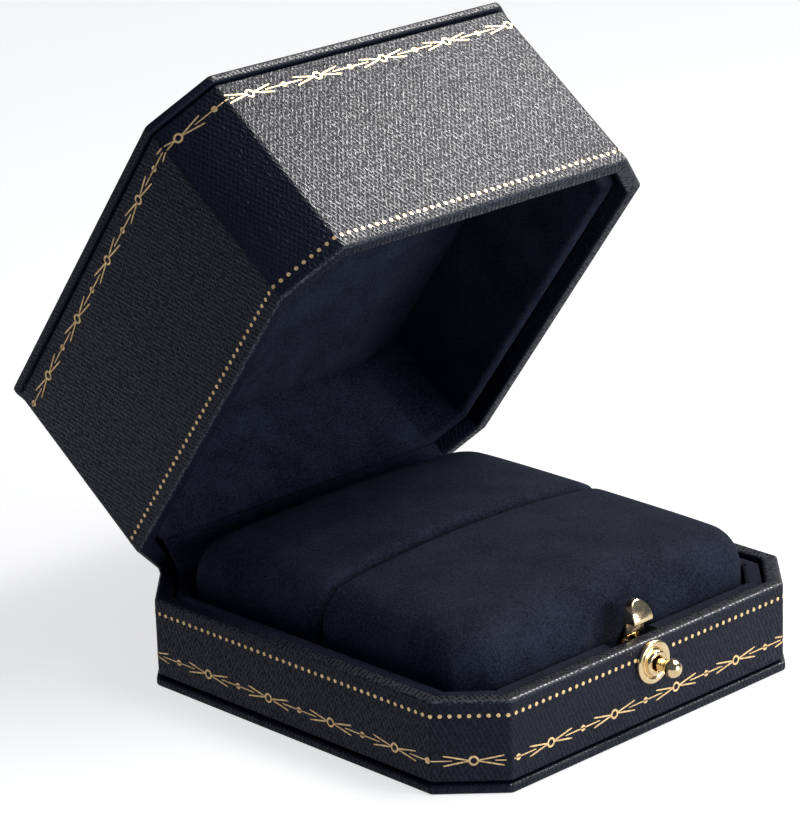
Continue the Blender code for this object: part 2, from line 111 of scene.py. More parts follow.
# The recesses behind the walls: for the hinge's leaves at the back, and for the latch at the front.
KNUCKLE_HALF = 12.6
KNUCKLE_REACH = 1.3
LEAF_POCKET_HALF = 13
STRIKE_TOP = 20.9

# The cushions.
CUSHION_HALF = high_mm("rear_cushion", 0)
CUSHION_FOOT = low_mm("rear_cushion", 2)
CUSHION_TOP = high_mm("rear_cushion", 2)
CUSHION_EXTRA = 0.25
CUSHION_DIP = 1.7
CLOTH_GRID = 0.9
SWELL_LIMIT = 0.4
SWELL_FRAMES = 20
CREASE_GAP = 0.05

# The hinge and its place along the lid.
LID_JOINT = next(joint for joint in frame["joints"] if joint["name"] == "lid_hinge")
HINGE = Vector(LID_JOINT["pos_m"]) / MM
OPEN_ANGLE = math.radians(LID_JOINT["range_deg"][1])
LID_TURN = (
    Matrix.Translation(HINGE) @ Matrix.Rotation(-OPEN_ANGLE, 4, "X") @ Matrix.Translation(-HINGE)
)

# The clasp. Its parts start well behind the wall's face.
BUTTON_Z = 9.2
BUTTON_HOLE = 1.65
BUSH_BACK = -28.95
BUTTON_BACK = -28.25

# The tongue, and the hollow in the front cushion that it tips back into.
TONGUE_HALF = 1.7
TONGUE_FOOT = 5.2
TONGUE_SHOULDER = 14.0
TONGUE_TOP = 16.8
HOLLOW_BACK = -25.9
HOLLOW_DEPTH = 1.5
HOLLOW_HALF = 3.9
HOLLOW_FADE = 3.2

# The covers at the hinge.
COVER = 0.5
SPINE_HALF = 24.4
SPINE_END = 6.5
FLAP_HALF = 25.0

# The gilding.
DOTS_FROM_RIM = 1.9
DOT_COUNT = 204
DOT_R = 0.27
CHAIN_PITCH = 11.35
BASE_CHAIN_Z = 4.35
LID_CHAIN_Z = LID_TOP - 2.5
LID_CHAIN_SHIFT = -3.0
CLASP_CLEAR = 3.0
FOIL = 0.035


# Shapes


def octagon(half):
    """The box's outline at a distance from its centre: four walls and four chamfered corners."""
    side = half - CHAMFER + (HALF - half) * (2 - math.sqrt(2))
    corners = [(half, -side), (half, side), (side, half), (-side, half)]
    return corners + [(-x, -y) for x, y in corners]


def is_upright(edge):
    """True for an edge that runs along Z."""
    first, last = (vert.co for vert in edge.verts)
    return abs(first.z - last.z) > 0.9 * (first - last).length


def is_rim(edge):
    """True for an edge where a level face meets an upright one."""
    level = [abs(face.normal.z) > 0.9 for face in edge.link_faces]
    return len(level) == 2 and level[0] != level[1]


def soften(bm, edges, width, segments=4):
    """Rounds edges over by a width."""
    bmesh.ops.bevel(
        bm, geom=edges, offset=width, segments=segments, profile=0.5, affect="EDGES", material=-1
    )
    bm.normal_update()


def pull(bm, faces, direction):
    """Extrudes faces along a direction and sets the shell's faces outwards."""
    grown = bmesh.ops.extrude_face_region(bm, geom=faces)["geom"]
    moved = [part for part in grown if isinstance(part, bmesh.types.BMVert)]
    bmesh.ops.translate(bm, vec=direction, verts=moved)
    bmesh.ops.recalc_face_normals(bm, faces=bm.faces)
    bm.normal_update()


def prism(points, direction):
    """A flat outline of 3-D points, drawn out along a direction."""
    bm = bmesh.new()
    face = bm.faces.new([bm.verts.new(point) for point in points])
    pull(bm, [face], direction)
    return bm


def board(half, bottom, top, corner, rim):
    """A solid octagonal board with soft corners and rounded top and bottom edges."""
    bm = prism([(x, y, bottom) for x, y in octagon(half)], (0, 0, top - bottom))
    soften(bm, [edge for edge in bm.edges if is_upright(edge)], corner, 3)
    soften(bm, [edge for edge in bm.edges if is_rim(edge)], rim)
    return bm


def wall(outer, inner, bottom, top, corner, rims):
    """An octagonal wall between two outlines, rounded by a width at each rim height that is given."""
    bm = bmesh.new()
    loops = []
    for half in (outer, inner):
        verts = [bm.verts.new((x, y, bottom)) for x, y in octagon(half)]
        loops += [bm.edges.new((verts[i - 1], verts[i])) for i in range(len(verts))]
    foot = bmesh.ops.bridge_loops(bm, edges=loops)["faces"]
    pull(bm, foot, (0, 0, top - bottom))
    soften(bm, [edge for edge in bm.edges if is_upright(edge)], corner, 3)
    for height, width in rims:
        edges = [edge for edge in bm.edges if is_rim(edge)]
        soften(bm, [edge for edge in edges if abs(edge.verts[0].co.z - height) < 1e-3], width)
    return bm


def block(low, high):
    """A box between two corners."""
    bm = bmesh.new()
    bmesh.ops.create_cube(bm, size=1.0)
    low, high = Vector(low), Vector(high)
    bmesh.ops.scale(bm, vec=high - low, verts=bm.verts)
    bmesh.ops.translate(bm, vec=(low + high) / 2, verts=bm.verts)
    return bm


def turned(profile, centre, sides=64):
    """A closed profile of (radius, distance) points turned about an axis along Y through a centre."""
    bm = bmesh.new()
    verts = [bm.verts.new((radius, along, 0)) for radius, along in profile]
    edges = [bm.edges.new((verts[i - 1], verts[i])) for i in range(len(verts))]
    bmesh.ops.spin(
        bm, geom=verts + edges, cent=(0, 0, 0), axis=(0, 1, 0), angle=2 * math.pi, steps=sides, use_merge=True
    )
    bmesh.ops.remove_doubles(bm, verts=bm.verts, dist=1e-4)
    bmesh.ops.translate(bm, vec=centre, verts=bm.verts)
    bmesh.ops.recalc_face_normals(bm, faces=bm.faces)
    return bm


def nearest_side(place):
    """The number of the wall or chamfer nearest a place, counted from +X, and how far inside it that is."""
    insides = []
    for side in range(8):
        angle = side * math.radians(45)
        reach = HALF if side % 2 == 0 else (2 * HALF - CHAMFER) / math.sqrt(2)
        insides.append(reach - place.x * math.cos(angle) - place.y * math.sin(angle))
    inside = min(insides)
    return insides.index(inside), inside


def lay_surface(bm):
    """Unrolls the walls and their rims and lays wide faces flat, as a UV map in millimetres."""
    layer = bm.loops.layers.uv.new("surface")
    step = (WALL_LENGTH + CHAMFER_LENGTH) / 2
    heights = [vert.co.z for vert in bm.verts]
    middle = (min(heights) + max(heights)) / 2
    for face in bm.faces:
        centre = face.calc_center_median()
        side, inside = nearest_side(centre)
        angle = side * math.radians(45)
        reach = inside + centre.x * math.cos(angle) + centre.y * math.sin(angle)
        way = 1 if centre.z > middle else -1
        for loop in face.loops:
            x, y, z = loop.vert.co
            if inside > WIDE_FACE:
                loop[layer].uv = (x, y)
            else:
                along = y * math.cos(angle) - x * math.sin(angle)
                depth = reach - x * math.cos(angle) - y * math.sin(angle)
                loop[layer].uv = (side * step + along, z + way * depth)


def finish(name, bm, material, body, replaces=(), flat=35):
    """Makes the finished piece of a bmesh in millimetres, in its place and riding on its body."""
    if "surface" not in bm.loops.layers.uv:
        lay_surface(bm)
    if body == "lid":
        bmesh.ops.transform(bm, matrix=LID_TURN, verts=bm.verts)
    bmesh.ops.scale(bm, vec=(MM, MM, MM), verts=bm.verts)
    mesh = bpy.data.meshes.new(name)
    bm.to_mesh(mesh)
    bm.free()
    mesh.shade_smooth()
    mesh.set_sharp_from_angle(angle=math.radians(flat))
    piece = bpy.data.objects.new(name, mesh)
    bpy.context.collection.objects.link(piece)
    piece.data.materials.append(material)
    if body:
        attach(piece, body)
    if replaces:
        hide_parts(*replaces)
    return piece


def cut_with(piece, name, bm, operation="DIFFERENCE"):
    """Adds a cut by a solid shape, given in millimetres, to a piece. The cut's tool is returned."""
    bmesh.ops.scale(bm, vec=(MM, MM, MM), verts=bm.verts)
    bmesh.ops.recalc_face_normals(bm, faces=bm.faces)
    mesh = bpy.data.meshes.new(name)
    bm.to_mesh(mesh)
    bm.free()
    tool = bpy.data.objects.new(name, mesh)
    bpy.context.collection.objects.link(tool)
    cut = piece.modifiers.new(name, "BOOLEAN")
    cut.operation = operation
    cut.solver = "EXACT"
    cut.object = tool
    return tool


def carve(piece, shapes, body):
    """Cuts solid shapes, given in the shut box's millimetres, out of a finished piece."""
    tools = []
    for i, bm in enumerate(shapes):
        if body == "lid":
            bmesh.ops.transform(bm, matrix=LID_TURN, verts=bm.verts)
        tools.append(cut_with(piece, f"{piece.name}_cut_{i}", bm))
    settle(piece)
    for tool in tools:
        bpy.data.objects.remove(tool)


def settle(piece):
    """Applies a piece's modifiers to its mesh."""
    bpy.context.view_layer.update()
    graph = bpy.context.evaluated_depsgraph_get()
    made = bpy.data.meshes.new_from_object(piece.evaluated_get(graph), depsgraph=graph)
    piece.modifiers.clear()
    old = piece.data
    made.name = old.name + "_made"
    piece.data = made
    bpy.data.meshes.remove(old)


# Materials

# The crossed grain of the leatherette, as lean, pitch and strength, and the spacing of the wave node's lines.
GRAIN_SLANTS = ((2.1, 0.60, 1.0), (-1.3, 0.56, 0.62))
WAVE_SPACING = 0.628
# A pale colour painted along the rims as their speckled highlight.
RIM_HIGHLIGHT_PAINT = (0.20, 0.21, 0.25, 1)


class Recipe:
    """A node material under construction: its shader, and short ways to add and link nodes."""

    def __init__(self, name, **values):
        self.material = bpy.data.materials.new(name)
        self.material.use_nodes = True
        self.nodes = self.material.node_tree.nodes
        self.links = self.material.node_tree.links
        self.shader = self.nodes["Principled BSDF"]
        for socket, value in values.items():
            self.shader.inputs[socket.replace("_", " ")].default_value = value

    def add(self, kind, inputs=None, **settings):
        """A node with its settings made and its inputs set or linked."""
        node = self.nodes.new(kind)
        for key, value in settings.items():
            setattr(node, key, value)
        for key, value in (inputs or {}).items():
            if isinstance(value, bpy.types.NodeSocket):
                self.links.new(value, node.inputs[key])
            else:
                node.inputs[key].default_value = value
        return node

    def math(self, operation, *values):
        """The result of a math operation on numbers or sockets."""
        return self.add("ShaderNodeMath", dict(enumerate(values)), operation=operation).outputs[0]

    def noise(self, vector, scale, detail=2.0, roughness=0.5):
        """Noise read at a vector, as a factor."""
        inputs = {"Vector": vector, "Scale": scale, "Detail": detail, "Roughness": roughness}
        return self.add("ShaderNodeTexNoise", inputs).outputs["Fac"]

    def mix(self, factor, first, second):
        """A colour between two colours."""
        node = self.add("ShaderNodeMix", {0: factor, 6: first, 7: second}, data_type="RGBA")
        return node.outputs[2]

    def span(self, value, low, high, to_low=0.0, to_high=1.0):
        """A value stretched from one range to another and held inside it."""
        inputs = {"Value": value, "From Min": low, "From Max": high, "To Min": to_low, "To Max": to_high}
        return self.add("ShaderNodeMapRange", inputs).outputs[0]

    def place(self):
        """The object's own coordinates, in millimetres."""
        coordinates = self.add("ShaderNodeTexCoord").outputs["Object"]
        inputs = {"Vector": coordinates, "Scale": (1 / MM,) * 3}
        return self.add("ShaderNodeMapping", inputs).outputs[0]

    def surface(self):
        """The piece's unrolled surface, in millimetres."""
        return self.add("ShaderNodeUVMap", uv_map="surface").outputs[0]

    def drive(self, socket, value):
        """Links a value to one of the shader's inputs."""
        self.links.new(value, self.shader.inputs[socket])

    def bump(self, height, depth_mm):
        """A relief of the given depth."""
        inputs = {"Height": height, "Strength": 1.0, "Distance": depth_mm * MM}
        return self.add("ShaderNodeBump", inputs).outputs[0]


def ridges(made, flat, lean, pitch, strength):
    """Broken ridges that lean across a surface at a pitch in millimetres."""
    size = WAVE_SPACING / (pitch * math.hypot(lean, 1))
    inputs = {"Vector": flat, "Scale": (lean * size, size, 0), "Location": (strength, pitch, 0)}
    slanted = made.add("ShaderNodeMapping", inputs).outputs[0]
    inputs = {"Vector": slanted, "Scale": 1.0, "Distortion": 2.0, "Detail": 1.0, "Detail Scale": 1.6}
    lines = made.add("ShaderNodeTexWave", inputs, bands_direction="DIAGONAL").outputs["Fac"]
    broken = made.span(made.noise(slanted, 2.4, 1.0), 0.36, 0.60, 0.15, strength)
    return made.math("MULTIPLY", lines, broken)


def leatherette(name, dark, light, depth, rim=None, way=1):
    """Wrapping paper with a crossed diagonal grain, glossier on its ridges, with painted shade in the grain's
    pits and a pale speckled highlight painted along the rims.

    The wrap turns over a rim at that height, and the way says on which side of it the turned part lies.
    """
    made = Recipe(name, Specular_IOR_Level=0.19)
    flat = made.surface()
    grain = made.math("MAXIMUM", *(ridges(made, flat, *slant) for slant in GRAIN_SLANTS))
    fine = made.noise(flat, 6.0, 2.0)
    height = made.math("ADD", grain, made.math("MULTIPLY", fine, 0.18))
    gloss = made.span(height, 0.15, 0.75, 0.78, 0.26)
    if rim:
        v = made.add("ShaderNodeSeparateXYZ", {"Vector": flat}).outputs[1]
        past = made.math("MULTIPLY", made.math("SUBTRACT", v, rim), way)
        height = made.math("MULTIPLY", height, made.span(past, -0.5, 0.1, 1.0, 0.3))
    cloudy = made.noise(flat, 0.09, 3.0)
    # Painted shade: the grain's pits are coloured darker than its ridges, as shade in the pits; the cloudy
    # part is the paper's own uneven tone.
    shade = made.math("ADD", made.math("MULTIPLY", grain, 0.75), made.span(cloudy, 0.3, 0.7, 0.0, 0.3))
    colour = made.mix(shade, dark, light)
    if rim:
        # A pale speckled highlight is painted in a band either side of the rim.
        near = made.span(made.math("ABSOLUTE", past), 0.1, 0.5, 1.0, 0.0)
        rim_highlight_specks = made.span(made.noise(flat, 2.6, 2.0), 0.45, 0.62)
        painted_rim_highlight = made.math("MULTIPLY", near, made.math("MULTIPLY", rim_highlight_specks, 0.35))
        colour = made.mix(painted_rim_highlight, colour, RIM_HIGHLIGHT_PAINT)
    made.drive("Base Color", colour)
    made.drive("Roughness", gloss)
    made.drive("Normal", made.bump(height, depth))
    return made.material


def suede(name, dark, light, nap):
    """Brushed cloth: a short matt nap with cloudy strokes and a faint bloom at grazing angles."""
    made = Recipe(
        name,
        Roughness=0.95,
        Specular_IOR_Level=0.05,
        Sheen_Weight=0.05,
        Sheen_Roughness=0.45,
        Sheen_Tint=(0.42, 0.48, 0.70, 1),
    )
    place = made.place()
    strokes = made.noise(place, 0.16, 3.0, 0.6)
    fibres = made.noise(place, 3.2, 3.0, 0.75)
    fluff = made.noise(place, 1.3, 2.0)
    shade = made.math("ADD", made.math("MULTIPLY", strokes, 0.45), fibres)
    made.drive("Base Color", made.mix(made.span(shade, 0.56, 0.90), dark, light))
    relief = made.math("ADD", fibres, made.math("MULTIPLY", fluff, 0.5))
    made.drive("Normal", made.bump(relief, nap))
    return made.material


def polished_metal(name, colour, tarnish, rough):
    """Polished metal with faint handling marks and hairlines."""
    made = Recipe(name, Metallic=1.0)
    place = made.place()
    marks = made.noise(place, 0.9, 4.0, 0.6)
    stretched = made.add("ShaderNodeMapping", {"Vector": place, "Scale": (0.6, 6.0, 6.0)}).outputs[0]
    hairs = made.noise(stretched, 3.0, 2.0, 0.7)
    made.drive("Base Color", made.mix(made.span(marks, 0.45, 0.75), colour, tarnish))
    made.drive("Roughness", made.span(made.math("ADD", marks, hairs), 0.7, 1.3, rough, rough + 0.16))
    made.drive("Normal", made.bump(hairs, 0.002))
    return made.material


def gilt(name, colour, worn):
    """Pressed foil: bright, a little uneven and thin in places."""
    made = Recipe(name, Metallic=1.0)
    place = made.place()
    patches = made.noise(place, 1.4, 3.0, 0.6)
    made.drive("Base Color", made.mix(made.span(patches, 0.42, 0.72), colour, worn))
    made.drive("Roughness", made.span(patches, 0.3, 0.7, 0.58, 0.75))
    made.drive("Normal", made.bump(made.noise(place, 4.0, 2.0), 0.012))
    return made.material


def pressed_card(name):
    """Grey pressed card with flecks of fibre."""
    made = Recipe(name, Roughness=0.9, Specular_IOR_Level=0.2)
    place = made.place()
    flecks = made.noise(place, 3.5, 4.0, 0.7)
    made.drive("Base Color", made.mix(flecks, (0.16, 0.15, 0.14, 1), (0.30, 0.28, 0.26, 1)))
    made.drive("Normal", made.bump(flecks, 0.02))
    return made.material


NAVY_DARK = (0.0022, 0.0034, 0.0092, 1)
NAVY_LIGHT = (0.0085, 0.0115, 0.0270, 1)
SUEDE_DARK = (0.0050, 0.0068, 0.0145, 1)
SUEDE_LIGHT = (0.0270, 0.0330, 0.0580, 1)

WALL_WRAP = leatherette("navy_wrap_walls", NAVY_DARK, NAVY_LIGHT, 0.028, BASE_RIM)
LID_WRAP = leatherette("navy_wrap_lid", NAVY_DARK, NAVY_LIGHT, 0.075, LID_RIM, -1)
BOARD_WRAP = leatherette("navy_wrap_boards", NAVY_DARK, NAVY_LIGHT, 0.06)
CUSHION_SUEDE = suede("navy_suede_cushions", SUEDE_DARK, SUEDE_LIGHT, 0.13)
LINING_SUEDE = suede("navy_suede_linings", SUEDE_DARK, SUEDE_LIGHT, 0.05)
BRASS = polished_metal("polished_brass", (0.90, 0.71, 0.42, 1), (0.74, 0.52, 0.27, 1), 0.09)
PLAIN_BRASS = polished_metal("plain_brass", (0.72, 0.54, 0.29, 1), (0.50, 0.36, 0.20, 1), 0.32)
STEEL = polished_metal("drawn_steel", (0.56, 0.56, 0.58, 1), (0.36, 0.36, 0.38, 1), 0.3)
GILT = gilt("pale_gilt_foil", (0.93, 0.70, 0.38, 1), (0.64, 0.44, 0.23, 1))
CARD = pressed_card("grey_card")


# Gilding


def outline_path(soft):
    """The soft-cornered outline as (length, start, heading, radius) steps, from the front wall's left end."""
    radius = soft / math.tan(math.radians(22.5))
    arc = radius * math.radians(45)
    steps = []
    place = Vector((soft - WALL_LENGTH / 2, -HALF))
    heading = 0.0
    for i in range(8):
        length = (CHAMFER_LENGTH if i % 2 else WALL_LENGTH) - 2 * soft
        steps.append((length, place.copy(), heading, 0.0))
        place += Vector((math.cos(heading), math.sin(heading))) * length
        steps.append((arc, place.copy(), heading, radius))
        centre = place + Vector((-math.sin(heading), math.cos(heading))) * radius
        heading += math.radians(45)
        place = centre + Vector((math.sin(heading), -math.cos(heading))) * radius
    return steps


OUTLINE = outline_path(CORNER_SOFT)
OUTLINE_LENGTH = sum(step[0] for step in OUTLINE)


def on_wall(along, height, proud):
    """The point at a distance along the outline, at a height, and proud of the wall."""
    rest = along % OUTLINE_LENGTH
    for length, place, heading, radius in OUTLINE:
        if rest <= length:
            break
        rest -= length
    if radius:
        centre = place + Vector((-math.sin(heading), math.cos(heading))) * radius
        heading += rest / radius
        point = centre + Vector((math.sin(heading), -math.cos(heading))) * (radius + proud)
    else:
        point = place + Vector((math.cos(heading), math.sin(heading))) * rest
        point += Vector((math.sin(heading), -math.cos(heading))) * proud
    return Vector((point.x, point.y, height))


def wrap_round(bm):
    """Bends a flat drawing, with X along the outline, Y up the wall and Z proud of it, round the box."""
    for vert in bm.verts:
        vert.co = on_wall(*vert.co)


def mark(bm, verts):
    """Gives a flat mark its thickness, so that it stands a little proud of the wall."""
    faces = {face for vert in verts for face in vert.link_faces}
    grown = bmesh.ops.extrude_face_region(bm, geom=list(faces))["geom"]
    top = [part for part in grown if isinstance(part, bmesh.types.BMVert)]
    bmesh.ops.translate(bm, vec=(0, 0, FOIL), verts=top)


def stroke(bm, start, end, width):
    """A straight tooled line, in short lengths so that it can follow a corner."""
    start = Vector(start)
    end = Vector(end)
    across = Vector((start.y - end.y, end.x - start.x)).normalized() * width / 2
    lengths = 5
    rows = []
    for i in range(lengths + 1):
        middle = start.lerp(end, i / lengths)
        taper = 0.7 if i in (0, lengths) else 1.0
        rows.append([bm.verts.new((*(middle + across * side * taper), 0)) for side in (-1, 1)])
    for near, far in zip(rows, rows[1:]):
        bm.faces.new((near[0], far[0], far[1], near[1]))
    mark(bm, [vert for row in rows for vert in row])


def ring(bm, centre, outer, inner):
    """A tooled ring."""
    loops = []
    verts = []
    for radius in (outer, inner):
        made = bmesh.ops.create_circle(bm, segments=16, radius=radius)["verts"]
        bmesh.ops.translate(bm, vec=(*centre, 0), verts=made)
        verts += made
        loops += {edge for vert in made for edge in vert.link_edges}
    bmesh.ops.bridge_loops(bm, edges=loops)
    mark(bm, verts)


def dot(bm, centre, radius, sides=8):
    """A tooled dot."""
    made = bmesh.ops.create_circle(bm, segments=sides, radius=radius, cap_ends=True)["verts"]
    bmesh.ops.translate(bm, vec=(*centre, 0), verts=made)
    mark(bm, made)


def gild(name, bm, body):
    """Wraps a drawing round the box and makes it a piece of foil."""
    wrap_round(bm)
    bmesh.ops.recalc_face_normals(bm, faces=bm.faces)
    return finish(name, bm, GILT, body, flat=60)


def dot_row(name, height, body, skip=None):
    """A row of fine dots round the walls, left out where a fitting covers it."""
    bm = bmesh.new()
    for i in range(DOT_COUNT):
        along = OUTLINE_LENGTH * (i + 0.5) / DOT_COUNT
        if skip and skip[0] < along < skip[1]:
            continue
        dot(bm, (along, height), DOT_R)
    return gild(name, bm, body)


def link(bm, place, after, height):
    """A ring with a pair of spreading strokes each side of it, and the dotted line to the next ring."""
    ring(bm, (place, height), 0.66, 0.40)
    for way in (-1, 1):
        for rise in (-1, 1):
            near = (place + way * 0.66, height + rise * 0.06)
            far = (place + way * 3.7, height + rise * 0.66)
            stroke(bm, near, far, 0.19)
    stroke(bm, (place + 2.6, height), (after - 2.6, height), 0.15)
    dot(bm, ((place + after) / 2, height), 0.42, 12)


def chain(name, height, middle, body):
    """A chain of links right round the walls. A longer link closes it, opposite the middle one."""
    bm = bmesh.new()
    count = int(OUTLINE_LENGTH // CHAIN_PITCH)
    places = [middle + CHAIN_PITCH * (i - count // 2) for i in range(count)]
    for place, after in zip(places, places[1:] + [places[0] + OUTLINE_LENGTH]):
        link(bm, place, after, height)
    return gild(name, bm, body)


# Pieces


def make_base():
    """The wrapped bottom board and wall of the base."""
    bm = board(BOARD_HALF, 0, BOARD_TOP, BOARD_CORNER, BOARD_EDGE)
    finish("bottom_board", bm, BOARD_WRAP, "root", ["base_bottom_board"])
    rims = [(BASE_RIM, RIM_ROUND), (BASE_FOOT, SEAM_ROUND)]
    bm = wall(HALF, HALF - WALL, BASE_FOOT, BASE_RIM, CORNER_SOFT, rims)
    piece = finish("base_wall", bm, WALL_WRAP, "root", ["base_wall_frame"])
    low = (-KNUCKLE_HALF, HALF - WALL - 0.1, BASE_RIM - KNUCKLE_REACH)
    notch = block(low, (KNUCKLE_HALF, HALF + 0.5, BASE_RIM + 0.5))
    profile = [(0, -33), (BUTTON_HOLE, -33), (BUTTON_HOLE, -29), (0, -29)]
    hole = turned(profile, (0, 0, BUTTON_Z), 32)
    carve(piece, [notch, hole], "root")


def make_lid():
    """The wrapped wall and top board of the lid."""
    bm = board(BOARD_HALF, LID_TOP + GAP, LID_TOP + GAP + LID_BOARD, BOARD_CORNER, BOARD_EDGE)
    finish("top_board", bm, BOARD_WRAP, "lid", ["lid_top_board"])
    rims = [(LID_RIM, RIM_ROUND), (LID_TOP, SEAM_ROUND)]
    bm = wall(HALF, HALF - WALL, LID_RIM, LID_TOP, CORNER_SOFT, rims)
    piece = finish("lid_wall", bm, LID_WRAP, "lid", ["lid_wall_frame"])
    inside = HALF - WALL - 0.1
    high = (KNUCKLE_HALF, HALF + 0.5, LID_RIM + KNUCKLE_REACH)
    notch = block((-KNUCKLE_HALF, inside, LID_RIM - 0.5), high)
    seat = block((-4.5, -HALF + 1.5, LID_RIM + 0.5), (4.5, -inside, STRIKE_TOP))
    pocket = block((-2.9, -HALF + 0.6, LID_RIM + 1.0), (2.9, -inside, 17.7))
    carve(piece, [notch, seat, pocket], "lid")


def make_tray():
    """The suede-covered tray in the base."""
    bm = wall(TRAY_OUTER, TRAY_INNER, TRAY_FLOOR, LEDGE, 0.3, [(LEDGE, 0.6)])
    tray = finish("tray_lining", bm, LINING_SUEDE, "root")
    high = (LEAF_POCKET_HALF, TRAY_OUTER + 0.5, TRAY_TOP + 1)
    pocket = block((-LEAF_POCKET_HALF, TRAY_OUTER - 1.5, 4.2), high)
    low = (-4.2, -TRAY_OUTER - 0.5, TRAY_FLOOR - 0.1)
    bay = block(low, (4.2, -TRAY_INNER + 0.5, TRAY_TOP + 1))
    carve(tray, [pocket, bay], "root")
    bm = board(TRAY_OUTER, BOARD_TOP + GAP, TRAY_FLOOR - 0.02, 0.3, 0.1)
    floor = finish("tray_floor", bm, LINING_SUEDE, "root")
    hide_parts("base_tray")
    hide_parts("base_tray")


def make_lid_lining():
    """The suede lining of the lid's walls and the padded ceiling."""
    bm = wall(TRAY_OUTER, LINER_INNER, LINER_EDGE, LID_TOP - 0.2, 0.5, [(LINER_EDGE, 0.9)])
    liner = finish("lid_lining", bm, LINING_SUEDE, "lid", ["lid_liner"])
    low = (-LEAF_POCKET_HALF, TRAY_OUTER - 1.4, LINER_EDGE - 1)
    pocket = block(low, (LEAF_POCKET_HALF, TRAY_OUTER + 1, 21.2))
    bay = block((-4.6, -TRAY_OUTER - 1, LINER_EDGE - 1), (4.6, -LINER_INNER + 1, STRIKE_TOP))
    carve(liner, [pocket, bay], "lid")
    bm = board(LINER_INNER - 0.1, CEILING, LID_TOP - 0.3, 0.4, 0.5)
    ceiling = finish("ceiling_pad", bm, LINING_SUEDE, "lid", ["lid_ceiling_pad"])


def swell(piece, foot, cap):
    """Swells a closed shape under pressure as padded cloth, glued down at its foot, by at most the cap."""
    fixed = piece.vertex_groups.new(name="glued")
    fixed.add([v.index for v in piece.data.vertices if v.co.z < foot], 1.0, "REPLACE")
    before = [v.co.copy() for v in piece.data.vertices]
    cloth = piece.modifiers.new("padding", "CLOTH")
    settings = cloth.settings
    settings.quality = 6
    settings.mass = 0.02
    settings.tension_stiffness = 12
    settings.compression_stiffness = 12
    settings.shear_stiffness = 4
    settings.bending_stiffness = 0.4
    settings.use_pressure = True
    settings.uniform_pressure_force = 4
    settings.effector_weights.gravity = 0
    settings.vertex_group_mass = "glued"
    cloth.point_cache.frame_start = 1
    cloth.point_cache.frame_end = SWELL_FRAMES
    scene = bpy.context.scene
    for number in range(1, SWELL_FRAMES + 1):
        scene.frame_set(number)
    settle(piece)
    scene.frame_set(1)
    for vert, start in zip(piece.data.vertices, before):
        step = vert.co - start
        if step.length > cap:
            vert.co = start + step.normalized() * cap
    piece.vertex_groups.clear()


def crown(piece, rise):
    """Raises a cushion towards the middle of the box, most at its top and not at all at its foot."""
    for vert in piece.data.vertices:
        x, y, z = vert.co / MM
        level = (z - CUSHION_FOOT) / (CUSHION_TOP - CUSHION_FOOT)
        inward = (1 - (x / TRAY_INNER) ** 2) * (1 - (y / TRAY_INNER) ** 4)
        vert.co.z += rise * MM * level * inward


def hollow(piece):
    """Presses a cushion in behind the tongue, which tips back there when the button is pushed."""
    for vert in piece.data.vertices:
        x, y, z = vert.co / MM
        aside = min(max((abs(x) - HOLLOW_HALF) / HOLLOW_FADE, 0.0), 1.0)
        limit = HOLLOW_BACK - HOLLOW_DEPTH * aside * aside * (3 - 2 * aside)
        vert.co.y = max(y, limit) * MM


def cushion_block(way):
    """Half of the tray's outline as a block, rolled over outside and tighter along the crease."""
    half = CUSHION_HALF + CUSHION_EXTRA
    side = octagon(half)[1][1]
    outline = [(half, 0.3), (half, side), (side, half)]
    outline += [(-x, y) for x, y in reversed(outline)]
    height = CUSHION_TOP - CUSHION_DIP - CUSHION_FOOT
    bm = prism([(x, way * y, CUSHION_FOOT) for x, y in outline], (0, 0, height))
    soften(bm, [e for e in bm.edges if is_upright(e) and abs(e.verts[0].co.y) > 1], 1.6, 5)
    rims = [e for e in bm.edges if is_rim(e) and e.verts[0].co.z > CUSHION_TOP - 3]
    soften(bm, [e for e in rims if max(abs(v.co.y) for v in e.verts) > 1], 5.0, 10)
    inner = {f for f in bm.faces if abs(f.normal.y + way) < 0.1 and abs(f.calc_center_median().y) < 1}
    edges = [e for e in bm.edges if inner.intersection(e.link_faces)]
    crease = [e for e in edges if e.verts[0].co.z + e.verts[1].co.z > 2 * CUSHION_FOOT + 0.1]
    soften(bm, crease, 0.7, 4)
    return bm


def make_cushion(name, way, rise, node):
    """One suede ring cushion, padded and crowned, that closes against the other along the crease."""
    piece = finish(name, cushion_block(way), CUSHION_SUEDE, None)
    remesh = piece.modifiers.new("even", "REMESH")
    remesh.mode = "VOXEL"
    remesh.voxel_size = CLOTH_GRID * MM
    settle(piece)
    crown(piece, rise)
    swell(piece, (CUSHION_FOOT + 1.0) * MM, SWELL_LIMIT * MM)
    for vert in piece.data.vertices:
        vert.co.y = way * max(way * vert.co.y, CREASE_GAP * MM)
    hollow(piece)
    smooth = piece.modifiers.new("round", "SUBSURF")
    smooth.levels = 1
    smooth.render_levels = 1
    settle(piece)
    piece.data.shade_smooth()
    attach(piece, "root")
    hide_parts(node)


def make_bush():
    """The flanged bush that the push button slides in."""
    face = -HALF - GAP + 0.28
    profile = [
        (1.0, BUSH_BACK),
        (1.0, face - 0.95),
        (1.10, face - 1.10),
        (1.35, face - 1.16),
        (1.58, face - 1.06),
        (1.68, face - 0.86),
        (1.68, face - 0.42),
        (1.84, face - 0.34),
        (2.05, face - 0.52),
        (2.35, face - 0.62),
        (2.64, face - 0.60),
        (2.80, face - 0.48),
        (2.85, face - 0.32),
        (2.85, face - 0.04),
        (1.35, face - 0.04),
        (1.35, BUSH_BACK),
    ]
    bm = turned(profile, (0, 0, BUTTON_Z))
    finish("clasp_bush", bm, BRASS, "root", ["button_bush"], flat=50)


